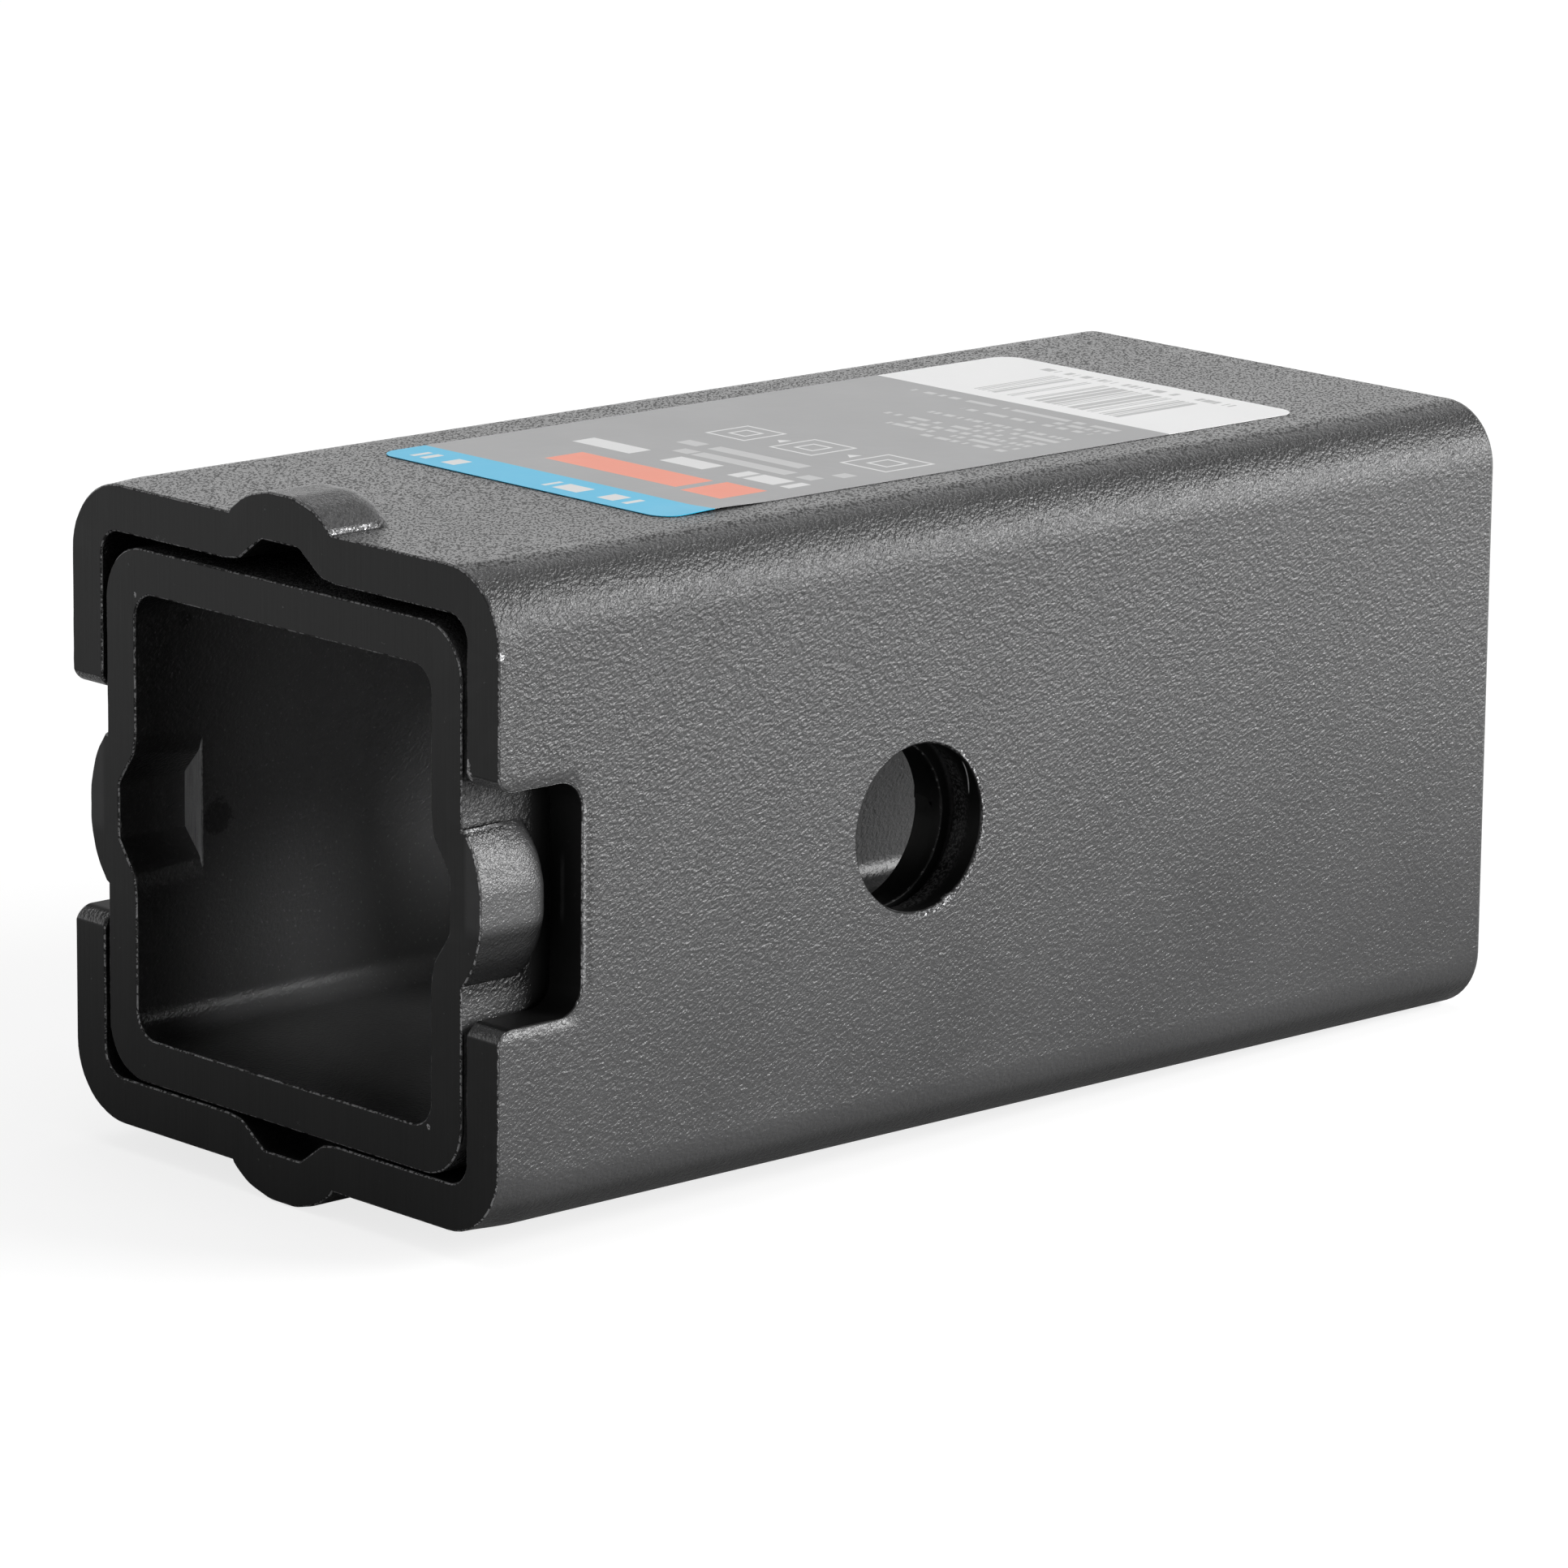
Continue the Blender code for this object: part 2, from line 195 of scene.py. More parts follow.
def tube(half, wall, corner, cavity_corner, stop_turns, tightening):
    """A pressed tube: outside skin and cavity skin, joined round both rims."""
    lines = [PLAIN_LINES, PLAIN_LINES]
    lines[0 if stop_turns[0] == 0 else 1] = STOP_LINES
    back = STOP_LENGTH - STOP_SHOULDER
    shoulder = [back + STOP_SHOULDER * math.sin(math.radians(11.25) * step) for step in range(1, 9)]
    rear = REAR - MOUTH
    past_stops = [0.013, rear]
    outer_stations = [0, 0.0007, 0.0018, 0.003, 0.0043, 0.0057, back, *shoulder]
    outer_stations += [STOP_LENGTH + SHEAR, *past_stops]
    lip = [PUNCH_LENGTH + SHEAR * step for step in (0, 1, 4, 9)]
    cavity_stations = [0, 0.0007, 0.0018, 0.003, 0.0045, 0.006, 0.0075, 0.0088, *lip, *past_stops]
    body = skin(half, corner, lines, outer_stations, stop_height, stop_turns)
    tighten(body, half, corner, tightening)
    cavity = skin(half - wall, cavity_corner, lines, cavity_stations, punch_depth, stop_turns)
    bmesh.ops.translate(cavity, verts=cavity.verts, vec=(0, -BRIDGING_GAP, 0))
    joined = bpy.data.meshes.new("cavity")
    cavity.to_mesh(joined)
    cavity.free()
    before = set(body.verts)
    body.from_mesh(joined)
    bpy.data.meshes.remove(joined)
    inside = [v for v in body.verts if v not in before]
    rims = [e for e in body.edges if e.is_boundary]
    bmesh.ops.bridge_loops(body, edges=[e for e in rims if e.verts[0].co.y < 0])
    bmesh.ops.bridge_loops(body, edges=[e for e in rims if e.verts[0].co.y > 0])
    bmesh.ops.translate(body, verts=inside, vec=(0, BRIDGING_GAP, 0))
    bmesh.ops.recalc_face_normals(body, faces=body.faces)
    reach = half - wall / 2
    rim = [e for e in body.edges if all(v.co.y > REAR - 1e-6 for v in e.verts)]
    rim = [e for e in rim if all(max(abs(v.co.x), abs(v.co.z)) > reach for v in e.verts)]
    rim = [e for e in rim if e.calc_face_angle() > SHARP]
    bmesh.ops.bevel(
        body, geom=rim, offset=REAR_EASE, affect="EDGES", segments=6, profile=0.5, material=-1
    )
    ahead = MOUTH + 0.0125
    behind = REAR - 1.5 * REAR_EASE
    on_flats = [e for e in body.edges if ahead < min(v.co.y for v in e.verts) < behind]
    bmesh.ops.dissolve_limit(body, verts=[], edges=on_flats, angle_limit=math.radians(0.5))
    for place, way in (
        ((0, PIN_HOLE_PLACE, 0), (0, 1, 0)),
        ((0, PIN_HOLE_PLACE - 0.015, 0), (0, 1, 0)),
        ((0, PIN_HOLE_PLACE + 0.015, 0), (0, 1, 0)),
        ((0, 0, 0.0002), (0, 0, 1)),
    ):
        everything = body.verts[:] + body.edges[:] + body.faces[:]
        bmesh.ops.bisect_plane(body, geom=everything, dist=1e-7, plane_co=place, plane_no=way)
    return body


def cut(body, cutter):
    """The body with the cutter's shape taken out of it."""
    pair = []
    for shape in (body, cutter):
        mesh = bpy.data.meshes.new("cutting")
        shape.to_mesh(mesh)
        shape.free()
        pair.append(bpy.data.objects.new("cutting", mesh))
        bpy.context.scene.collection.objects.link(pair[-1])
    step = pair[0].modifiers.new("cut", "BOOLEAN")
    step.solver = "EXACT"
    step.object = pair[1]
    graph = bpy.context.evaluated_depsgraph_get()
    left = bpy.data.meshes.new_from_object(pair[0].evaluated_get(graph))
    result = bmesh.new()
    result.from_mesh(left)
    for obj in pair:
        mesh = obj.data
        bpy.data.objects.remove(obj)
        bpy.data.meshes.remove(mesh)
    bpy.data.meshes.remove(left)
    return result


def pin_hole_cutter(half, wall, hole_place):
    """A punch for both side walls: straight where it enters, and flared where it breaks out inside."""
    cutter = bmesh.new()
    entry = half - wall * 0.3
    stations = (
        (-CUTTER_REACH, 0),
        (-entry, 0),
        (wall - half, PIN_HOLE_FLARE),
        (half - wall, PIN_HOLE_FLARE),
        (entry, 0),
        (CUTTER_REACH, 0),
    )
    bmesh.ops.create_circle(cutter, cap_ends=True, segments=PIN_HOLE_SEGMENTS, radius=PIN_HOLE_RADIUS)
    start = Matrix.Translation((-CUTTER_REACH, hole_place, 0))
    cutter.transform(start @ Matrix.Rotation(math.radians(90), 4, "Y"))
    face = cutter.faces[:]
    for (near, before), (far, after) in zip(stations, stations[1:]):
        grown = bmesh.ops.extrude_face_region(cutter, geom=face)["geom"]
        face = [item for item in grown if isinstance(item, bmesh.types.BMFace)]
        ring = [item for item in grown if isinstance(item, bmesh.types.BMVert)]
        bmesh.ops.translate(cutter, verts=ring, vec=(far - near, 0, 0))
        grow = (PIN_HOLE_RADIUS + after) / (PIN_HOLE_RADIUS + before)
        about = Matrix.Translation((0, -hole_place, 0))
        bmesh.ops.scale(cutter, verts=ring, vec=(1, grow, grow), space=about)
    across = [f for f in cutter.faces if abs(f.normal.x) > 0.99]
    across = [f for f in across if all(abs(v.co.x) < CUTTER_REACH - 0.0001 for v in f.verts)]
    bmesh.ops.delete(cutter, geom=across, context="FACES_ONLY")
    bmesh.ops.recalc_face_normals(cutter, faces=cutter.faces)
    return cutter


def notch_cutter():
    """A rounded slot through both side walls, flared where it opens at the mouth."""
    cutter = bmesh.new()
    flare = (NOTCH_MOUTH_START + CUTTER_OVERRUN) * math.tan(math.radians(NOTCH_MOUTH_TURN))
    corners = [(NOTCH_SIDE + flare, -CUTTER_OVERRUN)]
    corners += [(NOTCH_SIDE, NOTCH_MOUTH_START), (NOTCH_SIDE, NOTCH_END)]
    corners += [(-across, run) for across, run in reversed(corners)]
    verts = [cutter.verts.new((-CUTTER_REACH, MOUTH + run, across)) for across, run in corners]
    cutter.faces.new(verts)
    for pick, radius, turn in ((1, NOTCH_MOUTH_RADIUS, NOTCH_MOUTH_TURN), (2, NOTCH_CORNER, 90)):
        reach = radius * math.tan(math.radians(turn / 2))
        rounded = [verts[pick], verts[-1 - pick]]
        bmesh.ops.bevel(
            cutter, geom=rounded, offset=reach, affect="VERTICES", segments=10, profile=0.5, material=-1
        )
    grown = bmesh.ops.extrude_face_region(cutter, geom=cutter.faces[:])["geom"]
    far = [item for item in grown if isinstance(item, bmesh.types.BMVert)]
    bmesh.ops.translate(cutter, verts=far, vec=(2 * CUTTER_REACH, 0, 0))
    bmesh.ops.recalc_face_normals(cutter, faces=cutter.faces)
    return cutter


def sharp_edges(body):
    """The sawn, drilled and cut edges."""
    return [e for e in body.edges if e.is_manifold and e.is_convex and e.calc_face_angle() > SHARP]


def coated_edges(body):
    """Rounds every sawn or drilled edge, a little unevenly, and marks how near each point is to one."""
    bmesh.ops.remove_doubles(body, verts=body.verts, dist=0.00002)
    edges = sharp_edges(body)
    by_cuts = {}
    for edge in edges:
        by_cuts.setdefault(int(edge.calc_length() // EDGE_STEP), []).append(edge)
    for cuts, long_edges in by_cuts.items():
        if cuts:
            bmesh.ops.subdivide_edges(body, edges=long_edges, cuts=cuts)
    rounded = bmesh.ops.bevel(
        body,
        geom=sharp_edges(body),
        offset=EDGE_RADIUS,
        affect="EDGES",
        segments=4,
        profile=0.5,
        material=-1,
        clamp_overlap=False,
    )
    bead = set(rounded["faces"])
    wear = body.verts.layers.float.new("edge")
    for vert in {v for face in bead for v in face.verts}:
        if bead.issuperset(vert.link_faces):
            vert[wear] = 1
            shift = 0.5 + 0.5 * noise.noise(vert.co * 700)
            dent = max(0, noise.noise(vert.co * 330 + Vector((7, 0, 0))))
            vert.co -= vert.normal * (0.00006 * shift + 0.00014 * dent)


def sleeve(name, body_name, node, section, stop_turns, tightening, drop, hole_place, notched):
    """A whole sleeve: pressed tube, pin hole, notches, coated edges, its flat faces shaded flat."""
    shape = tube(*section, stop_turns, tightening)
    body = cut(shape, pin_hole_cutter(section[0], section[1], hole_place))
    if notched:
        body = cut(body, notch_cutter())
    coated_edges(body)
    mesh = bpy.data.meshes.new(name)
    bmesh.ops.translate(body, verts=body.verts, vec=(0, 0, -drop))
    body.to_mesh(mesh)
    body.free()
    mesh.shade_smooth()
    mesh.set_sharp_from_angle(angle=math.radians(32))
    piece = bpy.data.objects.new(name, mesh)
    bpy.context.scene.collection.objects.link(piece)
    weighted = piece.modifiers.new("flat faces stay flat", "WEIGHTED_NORMAL")
    weighted.weight = 100
    weighted.keep_sharp = True
    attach(piece, body_name)
    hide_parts(node)
    return piece


class Socket:
    """One output of a material's nodes, on which plain maths adds the nodes it needs."""

    def __init__(self, output):
        self.output = output
        self.tree = output.id_data

    def node(self, kind, settings=None, sockets=None, out=0):
        """Any other node, from its type, its settings, and its sockets' values or links."""
        new = self.tree.nodes.new(kind)
        for key, value in (settings or {}).items():
            setattr(new, key, value)
        for key, value in (sockets or {}).items():
            if isinstance(value, Socket):
                self.tree.links.new(value.output, new.inputs[key])
            else:
                new.inputs[key].default_value = value
        return Socket(new.outputs[out])

    def maths(self, operation, *others):
        return self.node("ShaderNodeMath", {"operation": operation}, dict(enumerate((self, *others))))

    def __add__(self, other):
        return self.maths("ADD", other)

    def __sub__(self, other):
        return self.maths("SUBTRACT", other)

    def __rsub__(self, other):
        return (self * -1).maths("ADD", other)

    def __mul__(self, other):
        return self.maths("MULTIPLY", other)

    def __abs__(self):
        return self.maths("ABSOLUTE")

    def __or__(self, other):
        """The greater of two."""
        return self.maths("MAXIMUM", other)

    def __and__(self, other):
        """The lesser of two."""
        return self.maths("MINIMUM", other)

    def step(self, low, high):
        """0 at low, 1 at high, smooth between, whichever of them is the greater."""
        sockets = {"Value": self, "From Min": low, "From Max": high}
        return self.node("ShaderNodeMapRange", {"interpolation_type": "SMOOTHSTEP"}, sockets)

    def within(self, low, high, soft):
        """1 between low and high, with soft ends."""
        return self.step(low - soft, low + soft) * self.step(high + soft, high - soft)

    def mix(self, low, high):
        """low where this is 0 and high where it is 1, as colours."""
        return self.node("ShaderNodeMix", {"data_type": "RGBA"}, {0: self, 6: low, 7: high}, out=2)

    def axes(self):
        """A place's three numbers."""
        split = self.node("ShaderNodeSeparateXYZ", sockets={0: self})
        return [Socket(output) for output in split.output.node.outputs]

    def stretched(self, *scale):
        """A place with its three numbers multiplied by these."""
        return self.node("ShaderNodeVectorMath", {"operation": "MULTIPLY"}, {0: self, 1: scale})

    def distance(self, *middle):
        """How far a place is from this point."""
        settings = {"operation": "DISTANCE"}
        return self.node("ShaderNodeVectorMath", settings, {0: self, 1: middle}, out="Value")

    def leaning(self, turn, stretch):
        """A place turned, and stretched along its new axes."""
        sockets = {"Vector": self, "Rotation": turn, "Scale": stretch}
        return self.node("ShaderNodeMapping", {"vector_type": "TEXTURE"}, sockets)

    def noise(self, size, detail=2.0, roughness=0.5, distortion=0.0):
        """Noise whose features are about this many metres across."""
        sockets = {"Vector": self, "Scale": 1 / size, "Detail": detail}
        sockets.update({"Roughness": roughness, "Distortion": distortion})
        return self.node("ShaderNodeTexNoise", sockets=sockets)

    __radd__ = __add__
    __rmul__ = __mul__


def surface(piece, name):
    """A new material on the piece: its place as a socket, and its shader."""
    material = bpy.data.materials.new(name)
    material.use_nodes = True
    piece.data.materials.clear()
    piece.data.materials.append(material)
    tree = material.node_tree
    place = Socket(tree.nodes.new("ShaderNodeTexCoord").outputs["Object"])
    return place, tree.nodes["Principled BSDF"]


def feed(shader, **values):
    """Links sockets to the shader's inputs, or sets plain values there."""
    for key, value in values.items():
        socket = shader.inputs[key.replace("_", " ")]
        if isinstance(value, Socket):
            shader.id_data.links.new(value.output, socket)
        else:
            socket.default_value = value


def grey(level):
    """A grey of this level, the least bit blue."""
    return (level, level, level * 1.015, 1)


COAT = 0.066
SAWN_COAT_WITH_SHADE = 0.014
SAWN_RELIEF = 0.00002
BARE_STEEL = 0.42
PEEL_SIZE = 0.00036
PEEL_STRETCH = (1, 1.7, 1)
PEEL_LEAN = (math.radians(28), 0, math.radians(14))
PEEL_HEIGHT = 0.00029
SPECKLE_SIZE = 0.0003
SPECKLE_STRETCH = (1, 2.8, 1)
SPECKLE_LEAN = (math.radians(20), 0, math.radians(45))
SWELL_SIZE = 0.0010
PIT_SIZE = 0.00019
CLOUD_SIZE = 0.021
FLAKE_SIZE = 0.0006
DUST_SIZE = 0.00042
CHIPPED_AREA = 0.005
TEAR_SIZE = 0.00032
SAW_LINE_SIZE = 0.00045
SCRATCH_SIZE = 0.0007
NICK_SIZE = 0.0013


def spots(place, ragged, marks):
    """Patches with ragged rims, each given by its x, y and z and its radius."""
    found = 0
    for middle_x, middle_y, middle_z, radius in marks:
        apart = place.distance(middle_x, MOUTH + middle_y, middle_z) + ragged * radius
        found = apart.step(radius, radius * 0.8) | found
    return found


def powder_coat(piece, name, section, drop, gloss, marks):
    """Powder coat: orange peel outside; inside, painted shade near the mouth, painted light further in, and
    dust;
    dull on the sawn ends and darker there, partly as painted shade; chipped edges.

    gloss is the roughness outside. marks gives, from the place, its x, y and z and a ragged noise, where a
    point is deep in a hole, notch or covered part and takes painted shade, where the coat is chipped to
    bare steel, where it is darker from pits, scuffs and painted shade, how much paler it is from marks and
    painted highlights, and how far it is rolled over towards a punched edge.
    """
    half, wall = section[:2]
    cavity = half - wall
    place, shader = surface(piece, name)
    place = place.node("ShaderNodeVectorMath", {"operation": "ADD"}, {0: place, 1: (0, 0, drop)})
    x, y, z = place.axes()
    run = y - MOUTH
    reach = abs(x) | abs(z)
    across = abs(x) & abs(z)
    mouth = y.step(MOUTH + 0.00012, MOUTH + 0.00004)
    rear = y.step(REAR - 0.00012, REAR - 0.00004)
    sawn = mouth | rear
    punched = across.step(0.0097, 0.0095) * run.step(0.01005, 0.0100)
    punched = punched * reach.step(cavity + PUNCH_DEPTH + 0.0003, cavity + PUNCH_DEPTH + 0.0001)
    inside = (reach.step(cavity + 0.0004, cavity + 0.0002) | punched) * (1 - sawn)
    sheared = punched * reach.step(cavity + 0.0001, cavity + 0.0003) * run.step(0.00972, 0.00979)

    flakes = place.noise(FLAKE_SIZE, detail=3.0, roughness=0.7)
    ragged = (flakes - 0.5) * 1.6
    hollow_shade, bare, dark_wear_and_shade, pale_marks_and_highlights, rolled = marks(place, x, y, z, ragged)
    hollow_shade = hollow_shade * (1 - sawn)

    peel = place.leaning(PEEL_LEAN, PEEL_STRETCH)
    grain = peel.noise(PEEL_SIZE, detail=2.2, roughness=0.5, distortion=0.15)
    speckle = place.leaning(SPECKLE_LEAN, SPECKLE_STRETCH).noise(SPECKLE_SIZE, detail=1.5)
    swell = place.noise(SWELL_SIZE, detail=1.0)
    pits = place.noise(PIT_SIZE, detail=1.0)
    dust = place.noise(DUST_SIZE, detail=1.0)
    cloud = place.noise(CLOUD_SIZE, detail=2.0, roughness=0.6)
    edge = Socket(place.tree.nodes.new("ShaderNodeAttribute").outputs["Fac"])
    edge.output.node.attribute_name = "edge"

    dotted = run.step(0.0009, 0.0004) | run.within(0.0120, 0.0128, 0.0003)
    stretched = reach.step(half + 0.0002, half + 0.0008)
    chips = flakes.step(0.53, 0.62) * place.noise(CHIPPED_AREA, detail=1.0).step(0.44, 0.56)
    dots = dust.step(0.46, 0.56) * dotted
    torn = place.noise(TEAR_SIZE, detail=2.0)
    worn = edge.step(0.35, 0.9) * (chips | dots * 0.7) | bare * torn.step(0.36, 0.50)
    fleck = dust.step(0.66, 0.74)
    deep = run.step(0.085, 0.115)
    # painted light and shade inside: dark near the mouth, lighter further in and lower down, darker again
    # far in
    inside_painted_light = run.step(0.002, 0.024) * (1 + z.step(0.005, -0.014) * 0.5)
    inside_painted_light = inside_painted_light * (run.step(0.085, 0.04) | 0.45) * (1 - 0.85 * deep)
    inside_painted_light = inside_painted_light * (1 + run.step(0.015, 0.042) * 0.5)
    powder = COAT * (1 - inside * (0.90 - 1.5 * inside_painted_light))
    level = powder * (0.86 + 0.28 * cloud) + fleck * (0.015 + 0.07 * inside * inside_painted_light)
    tears = place.stretched(1, 1, 0.06).noise(TEAR_SIZE, detail=2.0, roughness=0.6)
    # painted shade: the outside is darker from the lower corners down over the underside
    underside_shade = z.step(-0.031, -0.037) * (1 - inside) * 0.5
    topside = z.step(half - 0.0008, half - 0.0001) * (1 - 0.7 * stretched)
    # painted shade: the coat is darker along the tube's rounded corners
    corner_shade = across.step(half - 0.0048, half - 0.0030) * 0.4
    # painted shade: holes, notches and the parts that the outer sleeve covers are darkened and dulled
    level = level * (1 - corner_shade) * (1 - hollow_shade * 0.93) * (1 - dark_wear_and_shade) * (1 - underside_shade)
    level = level + topside * (speckle - 0.5) * 0.11
    level = level + sheared * (0.06 + 0.3 * tears) + pale_marks_and_highlights
    steel = BARE_STEEL * (0.5 + torn)
    colour = worn.mix(level.mix(grey(0), grey(1)), steel.mix(grey(0), grey(1)))
    rough = gloss + (cloud - 0.5) * 0.12 + inside * 0.1 + stretched * 0.01
    calm = (1 - 0.5 * z.step(0.026, -0.030)) * (1 - 0.15 * run.step(0.05, 0.14))
    calm = calm * (1 - inside * (0.40 + 0.1 * deep)) * (1 - 0.45 * stretched) * (1 - 0.7 * topside)
    height = grain + pits * (0.2 + stretched * 0.4) + swell * 0.35 * (1 - (stretched | topside))
    height = height * calm - worn * 0.5 - rolled * 1.6
    bump = place.node("ShaderNodeBump", sockets={"Height": height, "Distance": PEEL_HEIGHT})
    feed(shader, Base_Color=colour, Roughness=rough, Metallic=worn * 0.5, Normal=bump)

    saw_lines = place.stretched(1, 1, 0.03).noise(SAW_LINE_SIZE, detail=2.0, roughness=0.6)
    scratches = place.noise(SCRATCH_SIZE, detail=2.0)
    nick = place.noise(NICK_SIZE, detail=3.0, roughness=0.7).step(0.7, 0.76)
    # the sawn ends are dull, and their dark colour is partly painted shade
    sawn_level = SAWN_COAT_WITH_SHADE * (0.75 + 0.5 * saw_lines) + nick * 0.05 + worn * 0.4
    sawn_level = sawn_level * (1 - hollow_shade * 0.75) + pale_marks_and_highlights
    sawn_height = saw_lines * 0.7 + scratches * 0.3
    sawn_bump = place.node("ShaderNodeBump", sockets={"Height": sawn_height, "Distance": SAWN_RELIEF})
    dull = place.tree.nodes.new("ShaderNodeBsdfPrincipled")
    sawn_colour = sawn_level.mix(grey(0), grey(1))
    feed(dull, Base_Color=sawn_colour, Roughness=0.5, Normal=sawn_bump, Specular_IOR_Level=0.2)
    spotted = speckle.step(0.50, 0.42) * topside * 0.8
    finishes = {1: Socket(shader.outputs["BSDF"]), 2: Socket(dull.outputs["BSDF"])}
    whole = place.node("ShaderNodeMixShader", sockets={0: sawn | hollow_shade | spotted, **finishes})
    place.tree.links.new(whole.output, place.tree.nodes["Material Output"].inputs["Surface"])


def in_pin_hole(place, reach, half, hole_place):
    """How far a point is on the hole's wall, and its distance from the hole's middle line."""
    ring = place.stretched(0, 1, 1).distance(0, hole_place, 0)
    wall = ring.step(PIN_HOLE_RADIUS + 0.0013, PIN_HOLE_RADIUS + 0.0009)
    wall = wall * reach.step(half - 0.0002, half - 0.0005)
    return wall | ring.step(PIN_HOLE_RADIUS + 0.0003, PIN_HOLE_RADIUS + 0.0001), ring


BRIGHT_CURVE_FOOT = (0.0362, 0.0025)
BRIGHT_CURVE_LEAN = 0.3
STREAK_PLACE = 0.0348
CREASE_PLACE = 0.0089
CREASE_SHADE_PLACE = 0.0095
OUTER_CHIPS = (
    (OUTER_SECTION[0], 0.0684, -0.0089, 0.0007),
    (OUTER_SECTION[0], 0.0705, 0.0081, 0.0002),
    (OUTER_SECTION[0], 0.0116, -0.0120, 0.0003),
    (OUTER_SECTION[0], 0.0004, 0.0290, 0.0006),
    (0.0022, 0.0002, 0.0405, 0.0002),
)
HOLE_SMUDGES = ((0.0340, 0.0733, -0.0030, 0.0016), (0.0335, 0.0728, -0.0052, 0.0010))
MOUTH_CHALK = ((0.0325, 0.0002, 0.0149, 0.0010), (0.0325, 0.0002, 0.0162, 0.0008))


def outer_marks(place, x, y, z, ragged):
    """The outer sleeve's holes and marks, in the order that powder_coat describes."""
    half = OUTER_SECTION[0]
    run = y - MOUTH
    reach = abs(x) | abs(z)
    on_right = x.step(0, 0.001)
    on_top = z.step(half - 0.0002, half)
    hole, ring = in_pin_hole(place, reach, half, PIN_HOLE_PLACE)
    notch = abs(z).step(0.01375, 0.01350) * run.step(0.01255, 0.0123)
    notch = notch * reach.step(half - 0.00005, half - 0.0002)

    torn_side = ((y - PIN_HOLE_PLACE) * 0.9 - z * 0.3).step(0.0005, 0.0060)
    rim = ring.within(PIN_HOLE_RADIUS + 0.0002, PIN_HOLE_RADIUS + 0.0007, 0.0002)
    rim = rim * torn_side * on_right
    specks = place.noise(0.00034, detail=2.0).step(0.46, 0.53)
    broken = place.noise(0.00045, detail=2.0).step(0.40, 0.52)
    crease = (abs(x - CREASE_PLACE) + ragged * 0.0004).step(0.00030, 0.00018)
    crease = crease * run.step(0.0068, 0.0060) * broken * on_top
    bare = rim * specks * 0.9 | crease | spots(place, ragged, OUTER_CHIPS)
    # painted shade: a dark ragged line beside the top stop's right crease
    shade = (abs(x - CREASE_SHADE_PLACE) + ragged * 0.0003).step(0.0004, 0.0001)
    shade = shade * run.step(0.0085, 0.007) * on_top
    # painted shade: a band just behind the notch's rear edge on the right side
    shade_beside_notch = run.within(0.0131, 0.0137, 0.0005) * abs(z).step(0.0125, 0.0085)
    shade_beside_notch = shade_beside_notch * reach.step(half - 0.0003, half) * on_right
    # the pin hole rim's dark pits are wear; the other two are painted shade
    dark_wear_and_shade = rim * (1 - specks) * 0.75 | shade * 0.75 | shade_beside_notch * 0.45

    lit_edge = run.within(0.0124, 0.0128, 0.0001) * abs(z).step(0.0115, 0.0095)
    lit_edge = lit_edge * reach.step(half - 0.0002, half) * specks
    # a thin bright curved line on the pin hole's wall
    bright_curve = abs(x - BRIGHT_CURVE_FOOT[0] - (z - BRIGHT_CURVE_FOOT[1]) * BRIGHT_CURVE_LEAN).step(0.00013, 0.00006)
    bright_curve = bright_curve * z.within(0.0025, 0.0065, 0.0004) * (y - PIN_HOLE_PLACE).step(0.004, 0.005) * hole
    smudge = spots(place, ragged, HOLE_SMUDGES) * hole
    streak = abs(x - STREAK_PLACE + ragged * 0.0001).step(0.0005, 0.0001)
    streak = streak * z.within(-0.0030, 0.0040, 0.0012)
    streak = streak * run.step(0.0120, 0.0123) * notch * (0.5 + ragged * 0.5)
    chalky = spots(place, ragged, MOUTH_CHALK) * (0.3 + 0.7 * specks)
    pale_marks_and_highlights = bright_curve * 0.7 + smudge * 0.03 + streak * 0.05 + chalky * 0.5 + lit_edge * 0.16
    lip = 1 - abs(z).step(0.0130, 0.0158)
    rolled = lip * lip * run.step(0.0125, 0.0100) * (1 - notch)
    rolled = rolled * reach.step(half - 0.0004, half - 0.0001)
    # the pin hole's and the notch's walls take painted shade
    return hole | notch, bare, dark_wear_and_shade, pale_marks_and_highlights, rolled


outer = sleeve(
    "outer_sleeve_coated",
    "outer",
    "outer_sleeve",
    OUTER_SECTION,
    stop_turns=(0, math.pi),
    tightening=OUTER_TIGHTENING,
    drop=0,
    hole_place=PIN_HOLE_PLACE,
    notched=True,
)
powder_coat(outer, "outer powder coat", OUTER_SECTION, drop=0, gloss=0.235, marks=outer_marks)

# Inner sleeve. The same make of tube, one size down, with its stops pressed out of the side walls so that
# they sit in the outer sleeve's notches. It is coated the same, with painted shade inside near the mouth
# and painted light further in.
INNER_SECTION = (0.03175, 0.0053, 0.0065, 0.0032)
INNER_DROP = 0.0005
INNER_HOLE_PLACE = PIN_HOLE_PLACE - 0.00045
CREASE_LINE_PLACE = 0.0087
INNER_CHIPS = ((0.0262, 0.0003, -0.0262, 0.0004), (-0.0262, 0.0002, 0.0262, 0.0004))
INNER_SCUFFS = ((-0.0265, 0.0122, -0.0020, 0.0022), (-0.0265, 0.0074, 0.0224, 0.0011))


